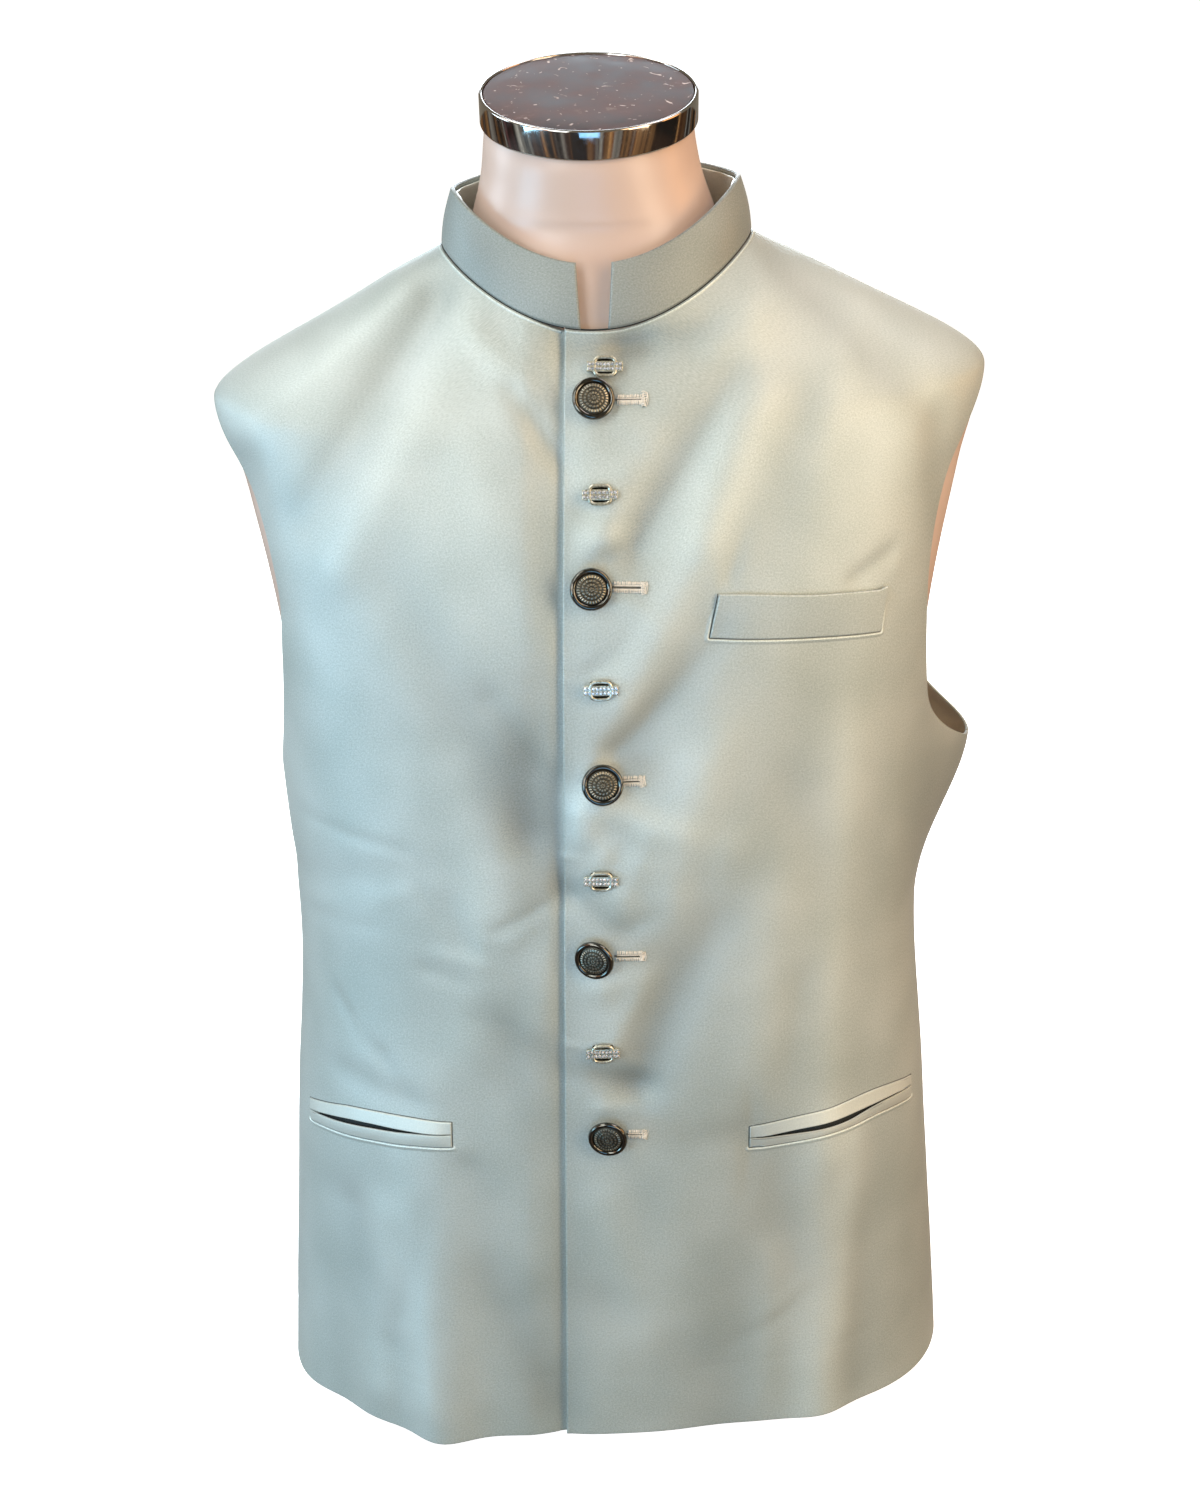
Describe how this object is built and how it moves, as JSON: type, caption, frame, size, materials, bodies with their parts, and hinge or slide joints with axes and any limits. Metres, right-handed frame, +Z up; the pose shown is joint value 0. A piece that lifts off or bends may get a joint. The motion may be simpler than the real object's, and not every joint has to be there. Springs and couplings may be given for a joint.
{
  "type": "sleeveless bandhgala jacket on a limbless dress form",
  "caption": "Sleeveless band-collared jacket with metal buttons and link trims down the front, a breast welt and jetted pockets, worn on a limbless dress form.",
  "frame": {"origin": "centre of the dress form's flat underside, on the floor", "axes": "+Z up, the jacket's front looks along -Y, and its wearer's left is +X"},
  "size_m": [0.4476, 0.2634, 0.8505],
  "materials": {
    "satin": "pale sage suiting with a soft sheen",
    "lining": "satin lining, drawn into short creases",
    "gunmetal": "domed gunmetal with a polished rim and a concentric ornament",
    "silver": "antique silver with small clear stones",
    "form": "smooth skin-tone form",
    "chrome": "polished",
    "disc": "dark brown-grey, scuffed"
  },
  "bodies": {
    "root": {"back": "satin", "breast_welt": "satin", "button_1": "gunmetal", "button_2": "gunmetal", "button_3": "gunmetal", "button_4": "gunmetal", "button_5": "gunmetal", "collar": "satin", "collar_lining": "lining", "form_body": "form", "form_cap_disc": "disc", "form_cap_rim": "chrome", "front_left": "satin", "front_right": "satin", "link_1": "silver", "link_2": "silver", "link_3": "silver", "link_4": "silver", "link_5": "silver", "pocket_left_lower_jet": "satin", "pocket_left_upper_jet": "satin", "pocket_right_lower_jet": "satin", "pocket_right_upper_jet": "satin"}
  },
  "joints": []
}
